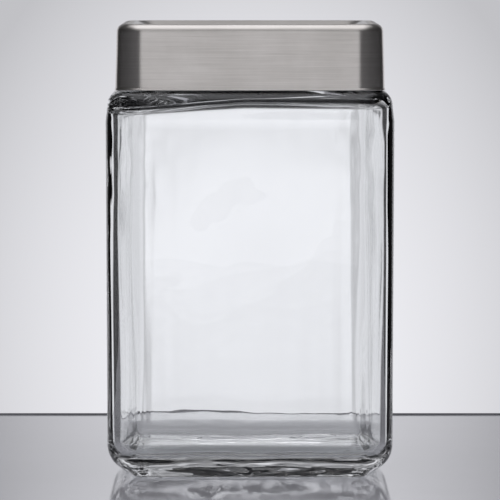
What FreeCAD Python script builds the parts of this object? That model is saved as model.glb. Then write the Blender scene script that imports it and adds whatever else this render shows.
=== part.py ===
import FreeCAD, Part
import math
import os
import Sketcher

# A square glass storage jar with a brushed metal screw lid, in millimetres.
# The origin is the middle of the foot, +Z is up and the front faces -Y.

doc = FreeCAD.newDocument("GlassStorageJar")
sheet = doc.addObject("Spreadsheet::Sheet", "Sizes")

# Every driving size of the jar, written once. A "draw" is how far an outline
# lies inside the belly line on each side.
sizes = {
    # glass body, outside
    "body_width": 110.0,            # across the flats at the belly
    "shoulder_height": 147.9,       # foot to the flat of the shoulder
    "belly_drop": 11.9,             # shoulder flat down to the widest level
    "shoulder_draw": 1.3,
    "heel_height": 7.4,
    "heel_draw": 0.55,
    "foot_draw": 10.7,
    "corner_radius": 14.0,
    "heel_round": 10.5,
    "belly_round": 9.0,
    "shoulder_round": 5.5,
    "foot_round": 1.2,
    # glass body, inside
    "glass_wall": 4.5,
    "floor_thickness": 9.0,
    "shoulder_thickness": 3.6,
    "cavity_corner_radius": 10.0,
    "cavity_floor_round": 8.5,
    "cavity_ceiling_round": 4.0,
    "throat_bevel": 1.6,
    # push-up under the foot
    "bearing_width": 5.0,
    "push_up_corner_radius": 9.0,
    "push_up_depth": 1.2,
    "push_up_round": 0.9,
    # round neck
    "neck_inset": 10.0,             # belly line in to the neck
    "neck_wall": 4.2,
    "finish_height": 20.6,          # shoulder flat up to the lip
    "neck_root_bevel": 1.4,
    "lip_round": 1.3,
    # pressed metal cover
    "lid_draft": 0.55,              # each side, lower edge to top
    "lid_sheet": 0.5,
    "lid_top_round": 3.0,
    "lid_edge_gap": 0.3,            # lower edge above the glass
    "recess_margin": 6.3,           # top edge in to the stacking recess
    "recess_depth": 1.8,
    "recess_corner_radius": 7.0,
    "recess_round": 0.8,
    "hem_height": 1.1,
    "hem_flare": 0.2,
    # moulded inner cap
    "cap_clearance": 0.3,           # to the cover all round
    "cap_rim": 1.25,                # plate past the skirt, at the middle of a side
    "cap_plate": 1.6,
    "cap_skirt_wall": 2.0,
    "cap_skirt_length": 15.5,
    "thread_room": 1.7,             # neck out to the skirt
    "seal_thickness": 0.6,
    "seal_overhang": 0.5,           # past the lip's outer and inner edge
}

for row, (alias, value) in enumerate(sizes.items(), start=1):
    sheet.set(f"A{row}", alias)
    sheet.set(f"B{row}", str(value))
    sheet.setAlias(f"B{row}", alias)
doc.recompute()

# Sizes that follow from the driving ones, as expressions in the same sheet's names.
foot_width = "(Sizes.body_width - 2 * Sizes.foot_draw)"
heel_width = "(Sizes.body_width - 2 * Sizes.heel_draw)"
shoulder_width = "(Sizes.body_width - 2 * Sizes.shoulder_draw)"
belly_level = "(Sizes.shoulder_height - Sizes.belly_drop)"
ceiling_level = "(Sizes.shoulder_height - Sizes.shoulder_thickness)"
ceiling_draw = "(Sizes.shoulder_draw * (1 - Sizes.shoulder_thickness / Sizes.belly_drop))"
lip_level = "(Sizes.shoulder_height + Sizes.finish_height)"
neck_diameter = "(Sizes.body_width - 2 * Sizes.neck_inset)"
mouth_diameter = f"({neck_diameter} - 2 * Sizes.neck_wall)"
heel_blend = "min(Sizes.heel_round; Sizes.corner_radius - Sizes.heel_draw - 1)"
cavity_floor_blend = "min(Sizes.cavity_floor_round; Sizes.cavity_corner_radius - 1)"
cavity_ceiling_blend = "min(Sizes.cavity_ceiling_round; Sizes.cavity_corner_radius - 1)"

# The inner cap goes round the neck and the cover goes round the cap.
skirt_inner = f"({neck_diameter} + 2 * Sizes.thread_room)"
skirt_outer = f"({skirt_inner} + 2 * Sizes.cap_skirt_wall)"
cap_width = f"({skirt_outer} + 2 * Sizes.cap_rim)"
cap_level = f"({lip_level} + Sizes.seal_thickness)"
panel_level = f"({cap_level} + Sizes.cap_plate)"
lid_top = f"({panel_level} + Sizes.lid_sheet + Sizes.recess_depth)"
lid_top_width = f"({cap_width} + 2 * Sizes.cap_clearance + 2 * Sizes.lid_sheet)"
lid_width = f"({lid_top_width} + 2 * Sizes.lid_draft)"
recess_width = f"({lid_top_width} - 2 * Sizes.recess_margin)"

# The corners of the cover and the cap stand about the same axes as the jar's.
corner_at = "(Sizes.body_width / 2 - Sizes.corner_radius)"
lid_corner = f"({lid_width} / 2 - {corner_at})"
cap_corner = f"({cap_width} / 2 - {corner_at})"

# The cover's lower edge clears the shoulder's arc where its inner face comes down.
arc_centre = "(Sizes.body_width / 2 - Sizes.shoulder_draw / 2 - Sizes.shoulder_round)"
edge_reach = f"max(0; {lid_width} / 2 - Sizes.lid_sheet - {arc_centre})"
lid_bottom = (f"(Sizes.shoulder_height - Sizes.shoulder_round + Sizes.lid_edge_gap"
              f" + sqrt(Sizes.shoulder_round ^ 2 - ({edge_reach}) ^ 2))")


def size(expression):
    """The present value of a size expression, in millimetres."""
    return float(sheet.evalExpression(expression))


def new_body(label):
    body = doc.addObject("PartDesign::Body", label)
    body.Label = label
    return body


def level_sketch(body, name, level):
    """A sketch that lies flat at a level above the foot."""
    plane = next(o for o in body.Origin.OriginFeatures if o.Role == "XY_Plane")
    sketch = body.newObject("Sketcher::SketchObject", name)
    sketch.AttachmentSupport = [(plane, "")]
    sketch.MapMode = "FlatFace"
    sketch.setExpression("AttachmentOffset.Base.z", level)
    return sketch


def add_rounded_square(sketch, width, radius):
    """Four sides and four corner arcs about the origin, bound to both sizes."""
    half = size(width) / 2
    r = size(radius)
    flat = half - r
    first = sketch.GeometryCount
    for corner in range(4):
        turn = corner * math.pi / 2

        def at(x, y):
            return FreeCAD.Vector(x * math.cos(turn) - y * math.sin(turn),
                                  x * math.sin(turn) + y * math.cos(turn), 0)

        sketch.addGeometry(Part.LineSegment(at(half, -flat), at(half, flat)), False)
        circle = Part.Circle(at(flat, flat), FreeCAD.Vector(0, 0, 1), r)
        sketch.addGeometry(Part.ArcOfCircle(circle, turn, turn + math.pi / 2), False)
    sides = [first + 2 * k for k in range(4)]
    arcs = [first + 2 * k + 1 for k in range(4)]
    for k in range(4):
        sketch.addConstraint(Sketcher.Constraint("Tangent", sides[k], 2, arcs[k], 1))
        sketch.addConstraint(Sketcher.Constraint("Tangent", arcs[k], 2, sides[(k + 1) % 4], 1))
    sketch.addConstraint(Sketcher.Constraint("Vertical", sides[0]))
    sketch.addConstraint(Sketcher.Constraint("Horizontal", sides[1]))
    for k in range(1, 4):
        sketch.addConstraint(Sketcher.Constraint("Equal", arcs[0], arcs[k]))
    sketch.addConstraint(Sketcher.Constraint("Symmetric", arcs[0], 3, arcs[2], 3, -1, 1))
    for kind, start, end, value in (("DistanceX", sides[2], sides[0], width),
                                    ("DistanceY", sides[3], sides[1], width)):
        index = sketch.addConstraint(Sketcher.Constraint(kind, start, 2, end, 1, 2 * half))
        sketch.setExpression(f"Constraints[{index}]", value)
    index = sketch.addConstraint(Sketcher.Constraint("Radius", arcs[0], r))
    sketch.setExpression(f"Constraints[{index}]", radius)


def add_circle(sketch, diameter):
    """A circle about the origin, bound to its diameter."""
    value = size(diameter)
    circle = Part.Circle(FreeCAD.Vector(0, 0, 0), FreeCAD.Vector(0, 0, 1), value / 2)
    index = sketch.addGeometry(circle, False)
    sketch.addConstraint(Sketcher.Constraint("Coincident", index, 3, -1, 1))
    row = sketch.addConstraint(Sketcher.Constraint("Diameter", index, value))
    sketch.setExpression(f"Constraints[{row}]", diameter)


def square_sketch(body, name, level, *outlines):
    sketch = level_sketch(body, name, level)
    for width, radius in outlines:
        add_rounded_square(sketch, width, radius)
    return sketch


def circle_sketch(body, name, level, *diameters):
    sketch = level_sketch(body, name, level)
    for diameter in diameters:
        add_circle(sketch, diameter)
    return sketch


def side_sketch(body, name, points, offset="0"):
    """A closed profile in an upright plane: each point has its reach and its level."""
    plane = next(o for o in body.Origin.OriginFeatures if o.Role == "XZ_Plane")
    sketch = body.newObject("Sketcher::SketchObject", name)
    sketch.AttachmentSupport = [(plane, "")]
    sketch.MapMode = "FlatFace"
    sketch.setExpression("AttachmentOffset.Base.z", f"-({offset})")
    values = [FreeCAD.Vector(size(reach), size(level), 0) for reach, level in points]
    count = len(points)
    for k in range(count):
        sketch.addGeometry(Part.LineSegment(values[k], values[(k + 1) % count]), False)
    for k in range(count):
        sketch.addConstraint(Sketcher.Constraint("Coincident", k, 2, (k + 1) % count, 1))
    for k, (reach, level) in enumerate(points):
        for kind, value, there in (("DistanceX", reach, values[k].x),
                                   ("DistanceY", level, values[k].y)):
            row = sketch.addConstraint(Sketcher.Constraint(kind, -1, 1, k, 1, there))
            sketch.setExpression(f"Constraints[{row}]", value)
    return sketch


def square_form(body, name, corner_at, points, cut=False):
    """A square with round corners and one side profile all the way round.

    The profile runs along a side and turns about the corner's upright axis, four
    times, round a square core. corner_at is how far out those axes stand.
    """
    bottom, top = points[0][1], points[-1][1]
    core = level_sketch(body, name + "CoreOutline", bottom)
    half = size(corner_at)
    corners = [FreeCAD.Vector(x * half, y * half, 0)
               for x, y in ((-1, -1), (1, -1), (1, 1), (-1, 1))]
    for k in range(4):
        core.addGeometry(Part.LineSegment(corners[k], corners[(k + 1) % 4]), False)
    for k in range(4):
        core.addConstraint(Sketcher.Constraint("Coincident", k, 2, (k + 1) % 4, 1))
    for k, kind in enumerate(("Horizontal", "Vertical", "Horizontal", "Vertical")):
        core.addConstraint(Sketcher.Constraint(kind, k))
    core.addConstraint(Sketcher.Constraint("Symmetric", 0, 1, 2, 1, -1, 1))
    for kind, line in (("DistanceX", 0), ("DistanceY", 1)):
        row = core.addConstraint(Sketcher.Constraint(kind, line, 1, line, 2, 2 * half))
        core.setExpression(f"Constraints[{row}]", f"2 * {corner_at}")
    pad = "PartDesign::Pocket" if cut else "PartDesign::Pad"
    extrude(body, pad, name + "Core", core, f"{top} - {bottom}")

    side = body.newObject(pad, name + "Side")
    side.Profile = side_sketch(body, name + "SideProfile", points)
    side.Midplane = True
    side.setExpression("Length", f"2 * {corner_at}")
    turn = body.newObject("PartDesign::Groove" if cut else "PartDesign::Revolution",
                          name + "Corner")
    profile = side_sketch(body, name + "CornerProfile", points, corner_at)
    axis = profile.addGeometry(Part.LineSegment(FreeCAD.Vector(half, -1, 0),
                                                FreeCAD.Vector(half, 1, 0)), True)
    profile.addConstraint(Sketcher.Constraint("Vertical", axis))
    profile.addConstraint(Sketcher.Constraint("PointOnObject", 0, 1, axis))
    turn.Profile = profile
    turn.ReferenceAxis = (profile, ["Axis0"])
    turn.Angle = 90
    doc.recompute()

    pattern = body.newObject("PartDesign::PolarPattern", name)
    pattern.Originals = [side, turn]
    upright = next(o for o in body.Origin.OriginFeatures if o.Role == "Z_Axis")
    pattern.Axis = (upright, [""])
    pattern.Angle = 360
    pattern.Occurrences = 4
    body.Tip = pattern
    doc.recompute()
    return pattern


def extrude(body, kind, name, sketch, length, downward=False):
    """A Pad or Pocket whose depth is bound to a size."""
    feature = body.newObject(kind, name)
    feature.Profile = sketch
    feature.setExpression("Length", length)
    pocket = kind == "PartDesign::Pocket"
    feature.Reversed = downward != pocket
    doc.recompute()
    return feature


def level_edges(feature, level, reach_to):
    """Names of the edges that lie flat at a level, no further out than reach_to."""
    z = size(level)
    names = []
    for number, edge in enumerate(feature.Shape.Edges, start=1):
        box = edge.BoundBox
        middle = edge.valueAt((edge.FirstParameter + edge.LastParameter) / 2)
        reach = max(abs(middle.x), abs(middle.y))
        flat = abs(box.ZMin - z) < 0.01 and abs(box.ZMax - z) < 0.01
        if flat and reach <= reach_to:
            names.append(f"Edge{number}")
    return names


def dress_edges(body, kind, name, level, setting, amount, reach_to):
    """Dress the loop of edges at a level of the body's last feature."""
    base = body.Tip
    feature = body.newObject(kind, name)
    feature.Base = (base, level_edges(base, level, reach_to))
    feature.setExpression(setting, amount)
    doc.recompute()
    return feature


def round_off(body, name, level, radius, reach_to=1000.0):
    return dress_edges(body, "PartDesign::Fillet", name, level, "Radius", radius, reach_to)


def bevel(body, name, level, width, reach_to=1000.0):
    return dress_edges(body, "PartDesign::Chamfer", name, level, "Size", width, reach_to)


# --- The jar: one piece of pressed glass -------------------------------------
# Outside, a square with round corners opens from the foot up a steep heel, stays
# nearly straight to the belly and draws in a little to the shoulder.
jar = new_body("jar")
square_form(jar, "OuterForm", corner_at, [
    (corner_at, "0"),
    (f"{foot_width} / 2", "0"),
    (f"{heel_width} / 2", "Sizes.heel_height"),
    ("Sizes.body_width / 2", belly_level),
    (f"{shoulder_width} / 2", "Sizes.shoulder_height"),
    (corner_at, "Sizes.shoulder_height"),
])
round_off(jar, "HeelRound", "Sizes.heel_height", heel_blend)
round_off(jar, "BellyRound", belly_level, "Sizes.belly_round")
round_off(jar, "ShoulderRound", "Sizes.shoulder_height", "Sizes.shoulder_round")
round_off(jar, "FootRound", "0", "Sizes.foot_round")

# The square turns into a round neck, which carries the thread and the lip.
extrude(jar, "PartDesign::Pad", "Neck",
        circle_sketch(jar, "NeckCircle", "Sizes.shoulder_height", neck_diameter),
        "Sizes.finish_height")
bevel(jar, "NeckRoot", "Sizes.shoulder_height", "Sizes.neck_root_bevel",
      reach_to=size(neck_diameter) / 2 + 0.01)

# Inside, a square cavity with thick floor and round corners, open to the mouth.
cavity_corner_at = "(Sizes.body_width / 2 - Sizes.glass_wall - Sizes.cavity_corner_radius)"
square_form(jar, "Cavity", cavity_corner_at, [
    (cavity_corner_at, "Sizes.floor_thickness"),
    (f"({heel_width} / 2 - Sizes.glass_wall)", "Sizes.floor_thickness"),
    ("(Sizes.body_width / 2 - Sizes.glass_wall)", belly_level),
    (f"(Sizes.body_width / 2 - Sizes.glass_wall - {ceiling_draw})", ceiling_level),
    (cavity_corner_at, ceiling_level),
], cut=True)
round_off(jar, "CavityFloorRound", "Sizes.floor_thickness", cavity_floor_blend)
round_off(jar, "CavityCeilingRound", ceiling_level, cavity_ceiling_blend)
extrude(jar, "PartDesign::Pocket", "Mouth",
        circle_sketch(jar, "MouthCircle", lip_level, mouth_diameter),
        "Sizes.finish_height + Sizes.shoulder_thickness", downward=True)
bevel(jar, "Throat", ceiling_level, "Sizes.throat_bevel",
      reach_to=size(mouth_diameter) / 2 + 0.01)
round_off(jar, "LipRound", lip_level, "Sizes.lip_round")

# The foot stands on a narrow ring round a shallow push-up.
push_up_width = f"({foot_width} - 2 * Sizes.bearing_width)"
extrude(jar, "PartDesign::Pocket", "PushUp",
        square_sketch(jar, "PushUpOutline", "0",
                      (push_up_width, "Sizes.push_up_corner_radius")),
        "Sizes.push_up_depth")
round_off(jar, "PushUpRound", "Sizes.push_up_depth", "Sizes.push_up_round")

# --- The cover: brushed sheet metal, pressed with a stacking recess ----------
lid = new_body("lid")
square_form(lid, "CoverForm", corner_at, [
    (corner_at, lid_bottom),
    (f"{lid_width} / 2", lid_bottom),
    (f"{lid_top_width} / 2", lid_top),
    (corner_at, lid_top),
])
round_off(lid, "CoverTopRound", lid_top, "Sizes.lid_top_round")
extrude(lid, "PartDesign::Pocket", "StackingRecess",
        square_sketch(lid, "RecessOutline", lid_top,
                      (recess_width, "Sizes.recess_corner_radius")),
        "Sizes.recess_depth", downward=True)
round_off(lid, "RecessRim", lid_top, "Sizes.recess_round",
          reach_to=size(recess_width) / 2 + 0.01)
round_off(lid, "RecessFoot", f"{lid_top} - Sizes.recess_depth", "Sizes.recess_round")

# The sheet has one thickness all over and is open below.
shell = lid.newObject("PartDesign::Thickness", "Sheet")
pressed = next(o for o in doc.Objects if o.Name == "RecessFoot")
under = min(range(len(pressed.Shape.Faces)),
            key=lambda k: pressed.Shape.Faces[k].CenterOfMass.z)
shell.Base = (pressed, [f"Face{under + 1}"])
shell.setExpression("Value", "Sizes.lid_sheet")
shell.Reversed = True
doc.recompute()

# Its lower edge is turned in a narrow hem that stands slightly proud.
hem_inner = f"({lid_width} - 2 * Sizes.lid_sheet)"
extrude(lid, "PartDesign::Pad", "Hem",
        square_sketch(lid, "HemOutline", lid_bottom,
                      (f"({lid_width} + 2 * Sizes.hem_flare)",
                       f"({lid_corner} + Sizes.hem_flare)"),
                      (hem_inner, f"({lid_corner} - Sizes.lid_sheet)")),
        "Sizes.hem_height")

# --- The inner cap: moulded plastic that the cover is pressed over -----------
cap = new_body("lid_cap")
extrude(cap, "PartDesign::Pad", "Plate",
        square_sketch(cap, "PlateOutline", cap_level, (cap_width, cap_corner)),
        "Sizes.cap_plate")
extrude(cap, "PartDesign::Pad", "Skirt",
        circle_sketch(cap, "SkirtRing", cap_level, skirt_outer, skirt_inner),
        "Sizes.cap_skirt_length", downward=True)
# A raised ring presses on the lip and seals it.
seal_outer = f"({neck_diameter} + 2 * Sizes.seal_overhang)"
seal_inner = f"({mouth_diameter} - 2 * Sizes.seal_overhang)"
extrude(cap, "PartDesign::Pad", "Seal",
        circle_sketch(cap, "SealRing", cap_level, seal_outer, seal_inner),
        "Sizes.seal_thickness", downward=True)

doc.recompute()

failed = [o.Name for o in doc.Objects if "Invalid" in o.State or "Error" in o.State]
if failed:
    raise RuntimeError("features that failed: " + ", ".join(failed))

parts = [jar, lid, cap]
for part in parts:
    if part.Shape.isNull() or not part.Shape.isValid() or len(part.Shape.Solids) != 1:
        raise RuntimeError(f"{part.Label} is not one valid solid")

os.makedirs("parts", exist_ok=True)
for part in parts:
    part.Shape.exportStep(f"parts/{part.Label}.step")
    print(f"{part.Label}: {part.Shape.Volume / 1000:.1f} cm3, box {part.Shape.BoundBox}")
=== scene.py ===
import math

import bmesh
import bpy
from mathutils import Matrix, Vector, noise


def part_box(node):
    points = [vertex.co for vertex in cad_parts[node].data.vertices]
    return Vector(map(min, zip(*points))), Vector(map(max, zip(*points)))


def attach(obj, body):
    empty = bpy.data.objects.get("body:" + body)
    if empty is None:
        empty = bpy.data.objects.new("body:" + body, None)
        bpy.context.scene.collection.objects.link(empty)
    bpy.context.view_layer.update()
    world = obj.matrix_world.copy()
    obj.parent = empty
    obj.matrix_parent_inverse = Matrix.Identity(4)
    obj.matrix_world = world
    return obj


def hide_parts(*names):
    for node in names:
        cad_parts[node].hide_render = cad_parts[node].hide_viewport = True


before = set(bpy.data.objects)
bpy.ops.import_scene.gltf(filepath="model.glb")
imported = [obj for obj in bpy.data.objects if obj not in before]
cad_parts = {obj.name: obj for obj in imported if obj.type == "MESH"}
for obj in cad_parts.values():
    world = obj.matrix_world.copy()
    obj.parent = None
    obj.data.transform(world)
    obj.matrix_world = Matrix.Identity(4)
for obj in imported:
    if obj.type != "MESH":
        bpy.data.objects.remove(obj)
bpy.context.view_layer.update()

mm = 0.001
degree = math.pi / 180
scene = bpy.context.scene

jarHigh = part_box("jar")[1]
lidLow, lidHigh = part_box("lid")
print("frame loaded")


def linearColour(hexValue):
    channels = [int(hexValue[k:k + 2], 16) / 255 for k in (1, 3, 5)]
    linear = [c / 12.92 if c <= 0.04045 else ((c + 0.055) / 1.055) ** 2.4 for c in channels]
    return (*linear, 1.0)


def addNode(tree, kind, settings=None, links=None):
    # settings go to sockets by name or number, or else to the node; links come from nodes or sockets.
    # A Mix node's inputs go by number: 2 and 3 are numbers, 4 and 5 vectors, 6 and 7 colours.
    node = tree.nodes.new(kind)
    for name, value in (settings or {}).items():
        if isinstance(name, int) or name in node.inputs:
            node.inputs[name].default_value = value
        else:
            setattr(node, name, value)
    for name, source in (links or {}).items():
        tree.links.new(source.outputs[0] if hasattr(source, "outputs") else source, node.inputs[name])
    return node


def newMaterial(name):
    material = bpy.data.materials.new(name)
    material.use_nodes = True
    material.node_tree.nodes.clear()
    return material, material.node_tree


def meshPiece(name, bm, *materials):
    mesh = bpy.data.meshes.new(name)
    bmesh.ops.recalc_face_normals(bm, faces=bm.faces)
    bm.to_mesh(mesh)
    bm.free()
    piece = bpy.data.objects.new(name, mesh)
    scene.collection.objects.link(piece)
    for material in materials:
        mesh.materials.append(material)
    mesh.polygons.foreach_set("use_smooth", [True] * len(mesh.polygons))
    return piece


# Square outlines with round corners. The vertices stand on fixed rays from the middle, so that
# one loop can be lifted from ring to ring, from a square to a circle and back.
outline = {
    "cornerAt": jarHigh.x - 14.0 * mm,  # where the axes of the 14 mm corners stand
    "sideSteps": 44,
    "cornerSteps": 26,
}


def outlineAngles():
    slope = outline["cornerAt"] / jarHigh.x
    edge = math.atan(slope)
    sides, corners = outline["sideSteps"], outline["cornerSteps"]
    quarter = [math.atan(-slope + 2 * slope * k / sides) for k in range(sides)]
    quarter += [edge + (math.pi / 2 - 2 * edge) * k / corners for k in range(corners)]
    return [turn * math.pi / 2 + angle for turn in range(4) for angle in quarter]


def outlineRadius(angle, reach, corner):
    # from the middle to a square of half width reach with round corners
    folded = cornerFold(angle)
    axis = reach - corner
    if math.tan(folded) * reach <= axis:
        return reach / math.cos(folded)
    along = axis * (math.cos(folded) + math.sin(folded))
    return along + math.sqrt(max(0.0, along * along - 2 * axis * axis + corner * corner))


def liftRings(rings, relief, firstPole, lastPole):
    # Each ring is half width, corner radius, level and zone; relief moves a vertex out and up.
    angles = outlineAngles()
    bm = bmesh.new()
    loop = bmesh.ops.create_circle(bm, cap_ends=False, segments=len(angles), radius=1.0)["verts"]
    edges = list(bm.edges)
    first = loop
    for index, ring in enumerate(rings):
        if index:
            grown = bmesh.ops.extrude_edge_only(bm, edges=edges)["geom"]
            loop = [part for part in grown if isinstance(part, bmesh.types.BMVert)]
            edges = [part for part in grown if isinstance(part, bmesh.types.BMEdge)]
            for part in grown:
                if isinstance(part, bmesh.types.BMFace):
                    part.material_index = 1 if ring[3] == "darkInside" else 0
        reach, corner, level, zone = ring
        for place, (vert, angle) in enumerate(zip(loop, angles)):
            radius = outlineRadius(angle, reach, corner)
            out, up = relief(zone, radius, angle, level, place)
            vert.co = ((radius + out) * math.cos(angle), (radius + out) * math.sin(angle), level + up)
    bmesh.ops.pointmerge(bm, verts=first, merge_co=Vector((0, 0, firstPole)))
    bmesh.ops.pointmerge(bm, verts=loop, merge_co=Vector((0, 0, lastPole)))
    return bm


def arcRings(centre, radius, start, end, steps, cornerAt):
    # a round in the side profile; angles in degrees from straight out
    rings = []
    for k in range(steps + 1):
        turn = math.radians(start + (end - start) * k / steps)
        reach = centre[0] + radius * math.cos(turn)
        rings.append((reach, max(0.0, reach - cornerAt), centre[1] + radius * math.sin(turn)))
    return rings


def betweenRings(start, end, steps):
    return [tuple(a + (b - a) * k / steps for a, b in zip(start, end)) for k in range(1, steps)]


def inZone(zone, rings):
    return [(*ring, zone) for ring in rings]


def swell(x, y, z, wave):
    # smooth unevenness between about -1 and 1; a wave is its length along x, y and z, and its seed
    across, along, upwards, seed = wave
    return noise.noise(Vector((x / across, y / along, z / upwards)) + Vector((0, 0, seed)))


def grown(at, start, over):
    # 0 up to start, from there rising to 1 over the given way
    return min(1.0, max(0.0, at - start) / over)


def cornerFold(angle):
    # the angle off the middle of the nearest side: 0 to an eighth of a turn
    return abs((angle + math.pi / 4) % (math.pi / 2) - math.pi / 4)


# The glass body: soda-lime glass, pressed and then blown out into its mould, heavy in the foot. The
# outside takes the mould's face; the inside is formed by air alone and is less even.
jar = {
    "wall": 4.5 * mm,
    "innerCorner": 10.0 * mm,
    "floor": 9.0 * mm,              # how thick the glass is under the room inside
    "floorRound": 5.0 * mm,
    "footDraw": 10.7 * mm,          # the foot's edge stands this far inside the widest girth
    "heelDraw": 0.55 * mm,          # and the top of the heel this far
    "heelHeight": 7.4 * mm,
    "heelRound": 10.5 * mm,
    "heelTop": 30.0 * mm,           # where the heel's streaks have died out
    "hollow": 39.3 * mm,            # half width of the dome under the foot
    "hollowCorner": 9.0 * mm,
    "hollowTop": 1.3 * mm,
    "belly": 136.0 * mm,            # level of the widest girth
    "shoulder": 147.9 * mm,
    "shoulderDraw": 1.3 * mm,
    "shoulderRound": 5.5 * mm,
    "shoulderThick": 3.6 * mm,
    "ceilingRound": 4.0 * mm,
    "upperFrom": 118.0 * mm,        # from here up the inner wall leans towards the sagging ceiling
    "upperFade": 26.0 * mm,
    "neck": 45.0 * mm,
    "mouth": 40.8 * mm,
    "lipRound": 1.4 * mm,
    "throat": 1.6 * mm,
}
thread = {
    "start": 6.0 * mm,              # above the shoulder
    "pitch": 5.5 * mm,
    "height": 1.2 * mm,
    "width": 1.1 * mm,
    "plain": 3.5,                   # mm without thread at both ends of the neck
    "runOut": 2,                    # mm in which it rises to its height
}
# How far the glass stands off its true face. A wave is its length in mm along x, y and z (for
# streaks in degrees round the jar) and its seed. Every From and Over is where an unevenness begins
# and how far it takes to grow, in mm but for corners.
uneven = {
    "inner": 0.42 * mm,
    "innerWave": (34, 34, 38, 5.0),
    "innerLeast": 0.4,              # its share down at the floor
    "innerFrom": 8,
    "innerOver": 40,
    "outer": 0.06 * mm,
    "outerWave": (30, 30, 50, 0.0),
    "outerOver": 20,
    "side": 0.025 * mm,             # streaks down the sides
    "corner": 0.14 * mm,            # and down the corners, in degrees off a side's middle
    "cornerFrom": 30,
    "cornerOver": 8,
    "streakWave": (2.2, 1, 90, 11.0),
    "mottleWave": (4, 1, 8, 12.0),
    "mottleFrom": 80,
    "mottleOver": 45,
    "heel": 0.04 * mm,
    "heelWave": (7, 7, 1.7, 3.0),
    "heelLong": 0.6,                # share of the longer wave
    "heelLongWave": (30, 30, 2.5, 4.0),
    "heelOver": 1.5,                # up from the foot
    "heelDownOver": 18,             # and down from the heel's top
    "floor": 0.4 * mm,
    "floorWave": (26, 26, 1, 13.0),
    "floorFine": 0.2,
    "floorFineWave": (9, 9, 1, 14.0),
    "floorOver": 4.5,               # down from the round at the wall
    "hollow": 0.2 * mm,
    "hollowWave": (6, 6, 1, 7.0),
    "hollowFine": 0.5,
    "hollowFineWave": (2.5, 12, 1, 15.0),
    "knurl": 0.3 * mm,              # teeth pressed into the ring that the jar stands on
    "knurlMean": 0.55,
    "knurlSpread": 0.8,
    "knurlWave": (3.5, 3.5, 1, 8.0),
    "ceiling": 0.06 * mm,
    "ceilingWave": (12, 12, 1, 9.0),
}
# The glass hangs deeper under the shoulder's corners, most at the front left: degrees and mm.
sag = {"corners": ((225, 3.0), (315, 0.3), (45, 1.2), (135, 0.9)), "reach": 44, "taper": 1.4}


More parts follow.
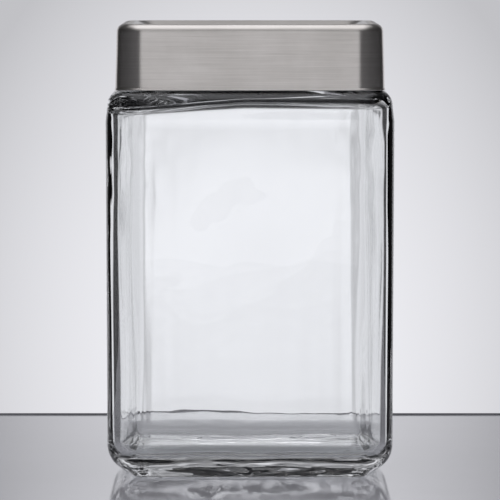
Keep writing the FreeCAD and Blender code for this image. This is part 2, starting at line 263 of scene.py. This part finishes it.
def jarProfile():
    # from the middle of the hollow out, up the outside, over the lip and down inside to the floor;
    # arcRings and betweenRings end with how many steps they make
    cornerAt = outline["cornerAt"]
    heelReach = jarHigh.x - jar["heelDraw"]
    footReach = jarHigh.x - jar["footDraw"]
    # the domed hollow, and the flat ring round it
    hollow, top, corner = jar["hollow"], jar["hollowTop"], jar["hollowCorner"]
    shares = (0.02, 0.1, 0.18, 0.26, 0.34, 0.42, 0.5, 0.57, 0.64, 0.7, 0.76, 0.81, 0.86, 0.91)
    rings = inZone("hollow", [(hollow * s, corner * s, top * (1 - s * s)) for s in shares])
    rings += inZone("hollow", [(hollow * s, corner, top * (1 - s * s)) for s in (0.945, 0.97, 0.99)])
    rings += inZone("hollow", [(hollow + 0.4 * mm, corner, 0.01 * mm)])
    rings += inZone("bearing", [
        (hollow + 1.2 * mm, 8.6 * mm, 0.02 * mm), (hollow + 2.2 * mm, 7.8 * mm, 0.0),
        (hollow + 2.9 * mm, 5.6 * mm, 0.0), (footReach - 1.4 * mm, 3.4 * mm, 0.0)])
    rings += inZone("heel", [
        (footReach - 0.5 * mm, footReach - 0.5 * mm - cornerAt, 0.08 * mm),
        (footReach + 0.5 * mm, footReach + 0.5 * mm - cornerAt, 0.5 * mm)])
    # steep heel and its round: the round's centre lies its radius inside both faces
    slope = math.atan2(jar["heelHeight"], heelReach - footReach)
    turned = jar["heelRound"]
    centreReach = heelReach + 0.03 * mm - turned
    along = (centreReach - footReach + turned * math.sin(slope)) / math.cos(slope)
    centreLevel = along * math.sin(slope) + turned * math.cos(slope)
    arc = arcRings((centreReach, centreLevel), turned, math.degrees(slope) - 90, 0.0, 26, cornerAt)
    rings += inZone("heel", betweenRings(rings[-1][:3], arc[0], 12) + arc)
    # the wall up to the belly, the shoulder and the neck's root
    lowWall = (heelReach + 0.05 * mm, heelReach + 0.05 * mm - cornerAt, jar["heelTop"])
    belly = (jarHigh.x, jarHigh.x - cornerAt, jar["belly"])
    rings += inZone("heel", betweenRings(arc[-1], lowWall, 18))
    rings += inZone("outside", [lowWall] + betweenRings(lowWall, belly, 36) + [belly])
    drawIn = jar["shoulderDraw"] / (jar["shoulder"] - jar["belly"])
    lean = math.atan(drawIn)
    turned = jar["shoulderRound"]
    centre = (jarHigh.x - jar["shoulderDraw"] + drawIn * turned - turned / math.cos(lean),
              jar["shoulder"] - turned)
    arc = arcRings(centre, turned, math.degrees(lean), 90.0, 14, cornerAt)
    rings += inZone("outside", betweenRings(belly, arc[0], 5) + arc)
    neck, level = jar["neck"], jar["shoulder"]
    rings += inZone("plain", [
        (neck + 2.6 * mm, neck - 30 * mm, level),
        (neck + 1.4 * mm, neck + 1.4 * mm, level + 0.1 * mm),
        (neck + 0.5 * mm, neck + 0.5 * mm, level + 0.5 * mm)])
    # the neck, its lip and the bore
    root = (neck, neck, level + 1.5 * mm)
    lip, turned = jarHigh.z, jar["lipRound"]
    arc = arcRings((neck - turned, lip - turned), turned, 0.0, 90.0, 6, 0.0)
    rings += inZone("thread", [root] + betweenRings(root, arc[0], 34))
    mouth = jar["mouth"]
    rings += inZone("plain", arc + arcRings((mouth + turned, lip - turned), turned, 90.0, 180.0, 6, 0.0))
    # the throat, the ceiling of the room inside and its round
    ceiling, throat = jar["shoulder"] - jar["shoulderThick"], jar["throat"]
    bore = (mouth, mouth, lip - turned)
    arc = arcRings((mouth + throat, ceiling + throat), throat, 180.0, 270.0, 6, 0.0)
    rings += inZone("plain", betweenRings(bore, arc[0], 5)) + inZone("ceiling", arc)
    inner = jarHigh.x - jar["wall"]
    innerAt = inner - jar["innerCorner"]
    turned = jar["ceilingRound"]
    arc = arcRings((inner - turned, ceiling - turned), turned, 90.0, 0.0, 12, innerAt)
    rings += inZone("ceiling", arc)
    upper = (inner, inner - innerAt, jar["upperFrom"])
    rings += inZone("upper", betweenRings(arc[-1], upper, 14) + [upper])
    # the inner wall down to the floor's round
    turned = jar["floorRound"]
    centre = (heelReach - jar["wall"] - turned, jar["floor"] + turned)
    arc = arcRings(centre, turned, 0.0, -90.0, 16, innerAt)
    rings += inZone("inside", betweenRings(upper, arc[0], 42))
    rings += inZone("floor", arc)
    rings += inZone("floor", [(arc[-1][0] * s, arc[-1][1] * s, jar["floor"])
                              for s in (0.93, 0.85, 0.75, 0.64, 0.52, 0.4, 0.28, 0.15, 0.03)])
    return rings


def cornerShare(angle):
    # 1 at the corners, 0 along the flats
    return grown(cornerFold(angle) / degree, uneven["cornerFrom"], uneven["cornerOver"])


def shoulderSag(angle):
    depth = 0.0
    for corner, deepest in sag["corners"]:
        away = (math.degrees(angle) - corner + 180) % 360 - 180
        depth += deepest * mm * max(0.0, 1 - abs(away) / sag["reach"]) ** sag["taper"]
    return depth


def threadRelief(angle, level):
    rise = level - jar["shoulder"]
    pitch, plain, runOut = thread["pitch"], thread["plain"], thread["runOut"]
    offset = (rise - thread["start"] - pitch * angle / (2 * math.pi) + pitch / 2) % pitch - pitch / 2
    ends = min(grown(rise / mm, plain, runOut), grown((jarHigh.z - level) / mm, plain, runOut))
    return thread["height"] * ends * math.exp(-(offset / thread["width"]) ** 2)


def jarRelief(zone, radius, angle, level, place):
    # how far a vertex stands out and up from the true face
    x, y, z = radius * math.cos(angle) / mm, radius * math.sin(angle) / mm, level / mm
    heelTop = jar["heelTop"] / mm
    if zone == "thread":
        return threadRelief(angle, level), 0.0
    if zone == "outside":
        start = grown(z, heelTop, uneven["outerOver"])
        return -uneven["outer"] * start * abs(swell(x, y, z, uneven["outerWave"])), 0.0
    if zone == "heel":
        fine = swell(x, y, z, uneven["heelWave"])
        fine += uneven["heelLong"] * swell(x, y, z, uneven["heelLongWave"])
        ends = min(grown(z, 0, uneven["heelOver"]), grown(heelTop, z, uneven["heelDownOver"]))
        return -uneven["heel"] * (1 + fine) * ends, 0.0
    if zone == "hollow":
        wave = swell(x, y, 0.0, uneven["hollowWave"])
        wave += uneven["hollowFine"] * swell(x, y, 0.0, uneven["hollowFineWave"])
        return 0.0, uneven["hollow"] * wave * min(1.0, z)
    if zone == "bearing":
        tooth = uneven["knurlMean"] + uneven["knurlSpread"] * swell(x, y, 0.0, uneven["knurlWave"])
        if place % 2 == 0:          # every second one is the gap beside a tooth
            tooth = 2 * tooth - 0.6
        return 0.0, uneven["knurl"] * max(0.0, tooth)
    if zone == "ceiling":
        return 0.0, uneven["ceiling"] * swell(x, y, 0.0, uneven["ceilingWave"]) - shoulderSag(angle)
    inner = uneven["inner"] * swell(x, y, z, uneven["innerWave"])
    inner *= max(uneven["innerLeast"], grown(z, uneven["innerFrom"], uneven["innerOver"]))
    if zone in ("upper", "inside"):
        turned = math.degrees(angle)
        mottle = max(0.0, z - uneven["mottleFrom"]) / uneven["mottleOver"]
        streak = swell(turned, 0.0, z, uneven["streakWave"])
        streak += swell(turned, 0.0, z, uneven["mottleWave"]) * mottle
        out = inner + streak * (uneven["side"] + uneven["corner"] * cornerShare(angle))
        if zone == "inside":
            return out, 0.0
        fade = grown(level, jar["upperFrom"], jar["upperFade"]) ** 2
        return out * (1 - fade), -shoulderSag(angle) * fade
    if zone == "floor":
        lift = swell(x, y, 0.0, uneven["floorWave"])
        lift += uneven["floorFine"] * swell(x, y, 0.0, uneven["floorFineWave"])
        roundTop = (jar["floor"] + jar["floorRound"]) / mm - 0.1
        return inner, uneven["floor"] * lift * grown(roundTop, z, uneven["floorOver"])
    return 0.0, 0.0


# Clear soda-lime glass, fire-polished: no grain of its own, all its life is in the bent light.
# Shadow rays pass nearly freely, as light does through a clear jar.
jarMaterial, tree = newMaterial("pressedSodaLimeGlass")
glass = addNode(tree, "ShaderNodeBsdfPrincipled", {
    "Base Color": linearColour("#fdfefe"), "Roughness": 0.0, "IOR": 1.52, "Transmission Weight": 1.0})
clear = addNode(tree, "ShaderNodeBsdfTransparent", {"Color": linearColour("#fcfdfd")})
rays = addNode(tree, "ShaderNodeLightPath")
mix = addNode(tree, "ShaderNodeMixShader", links={0: rays.outputs["Is Shadow Ray"], 1: glass, 2: clear})
addNode(tree, "ShaderNodeOutputMaterial", links={"Surface": mix})

bm = liftRings(jarProfile(), jarRelief, jar["hollowTop"], jar["floor"])
jarGlass = meshPiece("jarGlass", bm, jarMaterial)
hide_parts("jar")
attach(jarGlass, "root")
print("glass body made:", len(jarGlass.data.polygons), "faces")


# The cover: stainless steel sheet pressed to shape, brushed along its length before pressing,
# with a stacking recess in the top and a hem rolled out at the lower edge.
cover = {
    "sheet": 0.5 * mm,
    "draft": 0.55 * mm,             # how far each side leans in from foot to crest
    "topRound": 3.0 * mm,
    "recess": 44.45 * mm,           # half width
    "recessDepth": 1.8 * mm,
    "recessCorner": 7.0 * mm,
    "recessSlope": 4.4 * mm,        # how far its side runs in
    "hemFlare": 0.2 * mm,
    "hem": ((-0.35, 0.45), (-0.2, 0.12), (0.0, 0.0), (0.15, 0.08), (0.2, 0.26), (0.19, 0.42),
            (0.13, 0.58), (0.05, 0.73), (-0.02, 0.9), (-0.07, 1.15), (-0.07, 1.6), (-0.07, 2.3)),
    "height": 25.2,                 # mm
    "bow": 0.07 * mm,               # how far the side's sheet is off flat
    "bowWave": (18, 18, 11, 21.0),
    "bowShift": 0.4,                # it bows in more than out
    "bowOver": (2, 4),              # mm in which it grows, from the hem and from the top
    "dish": 0.12 * mm,              # and the recess's
    "dishWave": (20, 20, 1, 23.0),
    "dishReach": 39.0 * mm,
    "dishFade": 6.0 * mm,
}


def coverProfile():
    cornerAt = outline["cornerAt"]
    high = lidHigh.z
    foot = lidHigh.x - cover["hemFlare"]
    crest = foot - cover["draft"]
    sheet, turned = cover["sheet"], cover["topRound"]
    # rolled hem, in mm out and up: out past the wall, then back up into it
    outer = [(foot + out * mm, foot + out * mm - cornerAt, lidLow.z + up * mm) for out, up in cover["hem"]]
    arc = arcRings((crest - turned, high - turned), turned, 1.3, 90.0, 14, cornerAt)
    outer += betweenRings(outer[-1], arc[0], 20) + arc
    recess, slope, corner = cover["recess"], cover["recessSlope"], cover["recessCorner"]
    floorLevel = high - cover["recessDepth"]
    rim = [(recess + 0.5 * mm, corner + 0.5 * mm, high), (recess, corner, high - 0.06 * mm),
           (recess - 0.4 * mm, corner - 0.4 * mm, high - 0.19 * mm)]
    low = recess - slope
    dish = [(low + 0.4 * mm, corner - slope + 0.4 * mm, floorLevel + 0.19 * mm),
            (low, corner - slope, floorLevel + 0.06 * mm), (low - 0.5 * mm, corner - slope, floorLevel)]
    outer += betweenRings(outer[-1], rim[0], 3) + rim + betweenRings(rim[-1], dish[0], 4) + dish
    shares = (0.97, 0.9, 0.8, 0.68, 0.55, 0.42, 0.28, 0.14, 0.03)
    outer += [(dish[-1][0] * s, dish[-1][1] * s, floorLevel) for s in shares]
    # the inside, one sheet further in, from the middle of the recess out and down to the hem
    inner = [(low * s, (corner - slope) * s, floorLevel - sheet) for s in (0.03, 0.3, 0.6, 0.95)]
    inner += [(low + 0.1 * mm, corner - slope + 0.1 * mm, floorLevel - sheet),
              (recess + 0.1 * mm, corner + 0.1 * mm, high - sheet)]
    arc = arcRings((crest - turned, high - turned), turned - sheet, 90.0, 1.3, 8, cornerAt)
    inner += arc
    last = (outer[0][0] - 0.15 * mm, outer[0][1] - 0.15 * mm, lidLow.z + 0.9 * mm)
    inner += betweenRings(arc[-1], last, 10) + [last]
    return inZone("darkInside", inner), inZone("sheet", outer)


def coverRelief(zone, radius, angle, level, place):
    # the pressed sheet bows a little along its sides and dishes in the recess
    x, y = radius * math.cos(angle) / mm, radius * math.sin(angle) / mm
    z, height = (level - lidLow.z) / mm, cover["height"]
    fromHem, fromTop = cover["bowOver"]
    ends = grown(z, 0, fromHem) * grown(height, z, fromTop)
    out = cover["bow"] * ends * (swell(x, y, z, cover["bowWave"]) - cover["bowShift"])
    up, inside = 0.0, cover["dishReach"] - radius
    if z > height - 3.2 and inside > 0:     # only the recess, not the hem
        up = cover["dish"] * swell(x, y, 0.0, cover["dishWave"]) * min(1.0, inside / cover["dishFade"])
    return out, up


# Brushed stainless steel: the belt leaves fine straight scratches, so light spreads up and down
# across them and stays sharp along them. Real ones are some 0.05 mm apart; they are drawn 0.4 mm
# apart and 30 mm long, to show at all.
brush = {"apart": 0.4 * mm, "long": 30 * mm, "paintedMottle": 45.0, "tint": ("#c2beb8", "#dad6d1")}
steelMaterial, tree = newMaterial("brushedStainlessSteel")
spot = addNode(tree, "ShaderNodeTexCoord")
# the scratches run level round the sides; the cross product is level there, and still defined on top
tangent = addNode(tree, "ShaderNodeVectorMath", {"operation": "CROSS_PRODUCT", 1: (0.0, 0.02, 1.0)},
                  {0: spot.outputs["Normal"]})
sideScale = (1 / brush["long"], 1 / brush["long"], 1 / brush["apart"])
topScale = (1 / brush["long"], 1 / brush["apart"], 1 / brush["long"])
sideWay = addNode(tree, "ShaderNodeVectorMath", {"operation": "MULTIPLY", 1: sideScale},
                  {0: spot.outputs["Object"]})
topWay = addNode(tree, "ShaderNodeVectorMath", {"operation": "MULTIPLY", 1: topScale},
                 {0: spot.outputs["Object"]})
facing = addNode(tree, "ShaderNodeSeparateXYZ", links={0: spot.outputs["Normal"]})
upward = addNode(tree, "ShaderNodeMath", {"operation": "ABSOLUTE"}, {0: facing.outputs["Z"]})
onTop = addNode(tree, "ShaderNodeMath", {"operation": "GREATER_THAN", 1: 0.75}, {0: upward})
way = addNode(tree, "ShaderNodeMix", {"data_type": "VECTOR"},
              {0: onTop, 4: sideWay, 5: topWay})
scratches = addNode(tree, "ShaderNodeTexNoise", {"Scale": 1.0, "Detail": 3.0, "Roughness": 0.65},
                    {"Vector": way.outputs[1]})
# painted mottle: faint clouds some 22 mm across in the colour, standing in for the uneven reflections of
# the gently bowed sheet
paintedMottle = addNode(tree, "ShaderNodeTexNoise", {"Scale": brush["paintedMottle"], "Detail": 4.0, "Roughness": 0.55},
                 {"Vector": spot.outputs["Object"]})
both = addNode(tree, "ShaderNodeMath", {"operation": "ADD"}, {0: paintedMottle, 1: scratches})
tone = addNode(tree, "ShaderNodeMapRange", {"From Min": 0.65, "From Max": 1.35}, {"Value": both})
# the tint follows the scratches, which are the steel's own grain, and also the painted mottle
colour = addNode(tree, "ShaderNodeMix", {
    "data_type": "RGBA", 6: linearColour(brush["tint"][0]), 7: linearColour(brush["tint"][1])}, {0: tone})
dull = addNode(tree, "ShaderNodeMapRange", {"To Min": 0.34, "To Max": 0.28}, {"Value": scratches})
relief = addNode(tree, "ShaderNodeBump", {"Strength": 0.12, "Distance": 0.01 * mm}, {"Height": scratches})
steel = addNode(tree, "ShaderNodeBsdfPrincipled", {
    "Metallic": 1.0, "Anisotropic": 0.8, "Anisotropic Rotation": 0.25}, {
    "Base Color": colour.outputs[2], "Roughness": dull, "Tangent": tangent, "Normal": relief})
addNode(tree, "ShaderNodeOutputMaterial", links={"Surface": steel})

# Inside, the sheet is drawn near black and matt, so it swallows the light that comes up through the
# shoulder: painted shade for the band under the lid, which lies in shade.
darkInsideMaterial, tree = newMaterial("paintedShadeInside")
spot = addNode(tree, "ShaderNodeTexCoord")
insideMottle = addNode(tree, "ShaderNodeTexNoise", {"Scale": 1 / (4 * mm), "Detail": 2.0},
               {"Vector": spot.outputs["Object"]})
colour = addNode(tree, "ShaderNodeMix", {
    "data_type": "RGBA", 6: linearColour("#0f0f10"), 7: linearColour("#18181a")}, {0: insideMottle})
insideShader = addNode(tree, "ShaderNodeBsdfPrincipled", {"Roughness": 0.65, "Specular IOR Level": 0.15},
               {"Base Color": colour.outputs[2]})
addNode(tree, "ShaderNodeOutputMaterial", links={"Surface": insideShader})

inner, outer = coverProfile()
bm = liftRings(inner + outer, coverRelief, inner[0][2], outer[-1][2])
steelCover = meshPiece("steelCover", bm, steelMaterial, darkInsideMaterial)
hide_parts("lid")
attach(steelCover, "root")
print("steel cover made:", len(steelCover.data.polygons), "faces")

# The screw insert inside the cover: charcoal polypropylene, injection moulded, with the even grain
# of a spark-eroded mould, drawn 0.6 mm across. It is matt, and shows only from below.
insertMaterial, tree = newMaterial("mouldedPolypropylene")
spot = addNode(tree, "ShaderNodeTexCoord")
grain = addNode(tree, "ShaderNodeTexNoise", {"Scale": 1 / (0.6 * mm), "Detail": 2.0},
                {"Vector": spot.outputs["Object"]})
colour = addNode(tree, "ShaderNodeMix", {
    "data_type": "RGBA", 6: linearColour("#1b1b1d"), 7: linearColour("#27272a")}, {0: grain})
relief = addNode(tree, "ShaderNodeBump", {"Strength": 0.4, "Distance": 0.02 * mm}, {"Height": grain})
moulded = addNode(tree, "ShaderNodeBsdfPrincipled", {"Roughness": 0.55, "Specular IOR Level": 0.2},
                  {"Base Color": colour.outputs[2], "Normal": relief})
addNode(tree, "ShaderNodeOutputMaterial", links={"Surface": moulded})
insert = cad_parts["lid_cap"]
insert.data.materials.clear()
insert.data.materials.append(insertMaterial)
print("screw insert finished")


# A table of polished lacquer that ends behind the jar, so that it mirrors the jar softly. It lies a
# hair under the foot, because faces that share a level would show as black spots.
table = {
    "back": 221 * mm,
    "front": -1200 * mm,
    "side": 900 * mm,
    "thick": 20 * mm,
    "round": 1.0 * mm,
    "gap": 0.05 * mm,
    "edging": 0.5 * mm,             # the edging's height over the foot's level
    "edgingWide": 2.0 * mm,
}
bm = bmesh.new()
bmesh.ops.create_cube(bm, size=1.0)
bmesh.ops.scale(bm, vec=(2 * table["side"], table["back"] - table["front"], table["thick"]), verts=bm.verts)
tableMiddle = (0, (table["back"] + table["front"]) / 2, -table["thick"] / 2 - table["gap"])
bmesh.ops.translate(bm, vec=tableMiddle, verts=bm.verts)
bmesh.ops.bevel(bm, geom=bm.edges[:], offset=table["round"], segments=3, profile=0.5,
                affect="EDGES", material=-1)
tableMaterial, tree = newMaterial("polishedLacquer")
spot = addNode(tree, "ShaderNodeTexCoord")
haze = addNode(tree, "ShaderNodeTexNoise", {"Scale": 9.0, "Detail": 2.0},
               {"Vector": spot.outputs["Object"]})
colour = addNode(tree, "ShaderNodeMix", {
    "data_type": "RGBA", 6: linearColour("#c0c0c4"), 7: linearColour("#cacacf")}, {0: haze})
lacquer = addNode(tree, "ShaderNodeBsdfPrincipled", {"Roughness": 0.07, "IOR": 1.45},
                  {"Base Color": colour.outputs[2]})
addNode(tree, "ShaderNodeOutputMaterial", links={"Surface": lacquer})
tableSurface = meshPiece("tableSurface", bm, tableMaterial)
# flat faces: smooth ones would tilt the mirror towards its rounded edges
tableSurface.data.polygons.foreach_set("use_smooth", [False] * len(tableSurface.data.polygons))

# Matt grey edging along the table's back, which draws its thin dark line.
bm = bmesh.new()
bmesh.ops.create_cube(bm, size=1.0)
bmesh.ops.scale(bm, vec=(2 * table["side"], table["edgingWide"], 2 * table["edging"]), verts=bm.verts)
bmesh.ops.translate(bm, vec=(0, table["back"] - table["edgingWide"] / 2, 0), verts=bm.verts)
edgingMaterial, tree = newMaterial("mattEdging")
edging = addNode(tree, "ShaderNodeBsdfPrincipled", {
    "Base Color": linearColour("#77777b"), "Roughness": 0.8})
addNode(tree, "ShaderNodeOutputMaterial", links={"Surface": edging})
meshPiece("tableEdging", bm, edgingMaterial)
print("table made")


# The studio: a pale backdrop that fades outwards and upwards, dark flags at both sides, a low soft
# box in front and a large one overhead. Each pair is the start and end of a soft change, in degrees
# but for middleTo: round from behind for flagFrom and flagTo, over the top from the front for
# overheadFrom and overheadTo, sideways for overheadSide, and up from level for the rest.
studio = {
    "glowAt": -0.0793,              # slope down to the brightest spot
    "glow": 0.93,
    "fadeAcross": 89.0,             # lost for each squared slope sideways
    "fadeUp": 45.5,                 # and upwards
    "dimmest": 0.56,
    "surround": 0.83,               # the wide backdrop, as the glass gathers it
    "through": 0.89,                # the backdrop's share that comes through the glass
    "middle": 0.92,                 # the backdrop's middle, from middleFrom up
    "middleFade": 180.0,
    "middleFrom": (1.5, 4),
    "middleTo": (0.05, 0.12),       # sideways, as a share of the whole direction
    "upperDark": 0.27,
    "backFade": (7, 15),
    "highDark": 0.08,
    "flag": 0.03,
    "flagFrom": (30, 44),
    "flagTo": (167, 178),
    "flagLow": (-40, -25),
    "flagHigh": (22, 40),
    "frontBox": 1.55,               # low and wide, level with the lid
    "aboveFront": 0.42,
    "frontRise": (5, 11),
    "overhead": 1.6,
    "overheadFrom": (38, 60),
    "overheadTo": (115, 130),
    "overheadSide": (14, 40),
}
world = bpy.data.worlds.new("studio")
scene.world = world
world.use_nodes = True
tree = world.node_tree
tree.nodes.clear()
direction = addNode(tree, "ShaderNodeTexCoord")
x, y, z = addNode(tree, "ShaderNodeSeparateXYZ", links={0: direction.outputs["Generated"]}).outputs
aside = addNode(tree, "ShaderNodeMath", {"operation": "ABSOLUTE"}, {0: x})
turn = addNode(tree, "ShaderNodeMath", {"operation": "ARCTAN2"}, {0: aside, 1: y})
rise = addNode(tree, "ShaderNodeMath", {"operation": "ARCSINE"}, {0: z})
behind = addNode(tree, "ShaderNodeMath", {"operation": "MULTIPLY", 1: -1.0}, {0: y})
pitch = addNode(tree, "ShaderNodeMath", {"operation": "ARCTAN2"}, {0: z, 1: behind})
lean = addNode(tree, "ShaderNodeMath", {"operation": "ARCSINE"}, {0: aside})
ramps = {}
for name, angle in (("flagFrom", turn), ("flagTo", turn), ("flagLow", rise), ("flagHigh", rise),
                    ("backFade", rise), ("middleFrom", rise), ("frontRise", rise),
                    ("overheadFrom", pitch), ("overheadTo", pitch), ("overheadSide", lean)):
    low, high = studio[name]
    ramps[name] = addNode(tree, "ShaderNodeMapRange", {
        "interpolation_type": "SMOOTHSTEP", "From Min": low * degree, "From Max": high * degree},
        {"Value": angle})
# how far the backdrop has faded at a spot
across = addNode(tree, "ShaderNodeMath", {"operation": "DIVIDE"}, {0: x, 1: y})
upward = addNode(tree, "ShaderNodeMath", {"operation": "DIVIDE"}, {0: z, 1: y})
above = addNode(tree, "ShaderNodeMath", {"operation": "SUBTRACT", 1: studio["glowAt"]}, {0: upward})
acrossSquare = addNode(tree, "ShaderNodeMath", {"operation": "MULTIPLY"}, {0: across, 1: across})
aboveSquare = addNode(tree, "ShaderNodeMath", {"operation": "MULTIPLY"}, {0: above, 1: above})
fadeAcross = addNode(tree, "ShaderNodeMath", {"operation": "MULTIPLY", 1: studio["fadeAcross"]},
                     {0: acrossSquare})
fade = addNode(tree, "ShaderNodeMath", {"operation": "MULTIPLY_ADD", 1: studio["fadeUp"]},
               {0: aboveSquare, 2: fadeAcross})
glow = addNode(tree, "ShaderNodeMath", {"operation": "SUBTRACT", 0: studio["glow"]}, {1: fade})
ahead = addNode(tree, "ShaderNodeMath", {"operation": "GREATER_THAN", 1: 0.0}, {0: y})
glowAhead = addNode(tree, "ShaderNodeMath", {"operation": "MULTIPLY"}, {0: glow, 1: ahead})
backdrop = addNode(tree, "ShaderNodeMath", {"operation": "MAXIMUM", 1: studio["dimmest"]}, {0: glowAhead})
# what lights the jar, from the backdrop up to the overhead box
middleFade = addNode(tree, "ShaderNodeMath", {"operation": "MULTIPLY", 1: studio["middleFade"]},
                     {0: acrossSquare})
middle = addNode(tree, "ShaderNodeMath", {"operation": "SUBTRACT", 0: studio["middle"]}, {1: middleFade})
through = addNode(tree, "ShaderNodeMath", {"operation": "MULTIPLY", 1: studio["through"]},
                  {0: backdrop})
middle = addNode(tree, "ShaderNodeMix", links={0: ramps["middleFrom"], 2: through, 3: middle})
outwards = addNode(tree, "ShaderNodeMapRange", {
    "From Min": studio["middleTo"][0], "From Max": studio["middleTo"][1]}, {"Value": aside})
light = addNode(tree, "ShaderNodeMix", {3: studio["surround"]}, {0: outwards, 2: middle})
light = addNode(tree, "ShaderNodeMix", {3: studio["upperDark"]}, {0: ramps["backFade"], 2: light})
# the flags at the sides, pale again far below and dark above
light = addNode(tree, "ShaderNodeMix", {3: studio["flag"]}, {0: ramps["flagFrom"], 2: light})
light = addNode(tree, "ShaderNodeMix", {2: studio["surround"]}, {0: ramps["flagLow"], 3: light})
light = addNode(tree, "ShaderNodeMix", {3: studio["highDark"]}, {0: ramps["flagHigh"], 2: light})
# the boxes in front and overhead
front = addNode(tree, "ShaderNodeMix", {2: studio["frontBox"], 3: studio["aboveFront"]},
                {0: ramps["frontRise"]})
light = addNode(tree, "ShaderNodeMix", links={0: ramps["flagTo"], 2: light, 3: front})
inBox = addNode(tree, "ShaderNodeMath", {"operation": "SUBTRACT"},
                {0: ramps["overheadFrom"], 1: ramps["overheadTo"]})
inBox = addNode(tree, "ShaderNodeMath", {"operation": "SUBTRACT", "use_clamp": True},
                {0: inBox, 1: ramps["overheadSide"]})
light = addNode(tree, "ShaderNodeMix", {3: studio["overhead"]}, {0: inBox, 2: light})
# seen bare, the whole surround is backdrop
rays = addNode(tree, "ShaderNodeLightPath")
strength = addNode(tree, "ShaderNodeMix",
                   links={0: rays.outputs["Is Camera Ray"], 2: light, 3: backdrop})
background = addNode(tree, "ShaderNodeBackground", {"Color": linearColour("#fafaff")},
                     {"Strength": strength})
addNode(tree, "ShaderNodeOutputWorld", links={"Surface": background})
print("studio lit")

# The camera stands a little above the lid and looks slightly down. Metres, but for the sensor.
view = {
    "distance": 2.0,                # from the jar's middle
    "eye": 0.204,
    "aim": 0.0869,                  # level it looks at, at the face
    "face": 0.041,                  # how far the front stands before the middle
    "span": 0.1902,                 # width in view at the face
    "sensor": 36.0,                 # mm
}
cameraData = bpy.data.cameras.new("camera")
cameraData.sensor_width = view["sensor"]
reach = view["distance"] - view["face"]
cameraData.lens = view["sensor"] * reach / view["span"]
camera = bpy.data.objects.new("camera", cameraData)
scene.collection.objects.link(camera)
camera.location = (0.0, -view["distance"], view["eye"])
camera.rotation_euler = (math.pi / 2 - math.atan((view["eye"] - view["aim"]) / reach), 0, 0)
scene.camera = camera

scene.view_settings.view_transform = "Standard"
# light crosses the thick foot many times before it leaves
scene.cycles.max_bounces = 32
scene.cycles.transmission_bounces = 32
scene.cycles.glossy_bounces = 12
scene.cycles.transparent_max_bounces = 32
print("camera set")
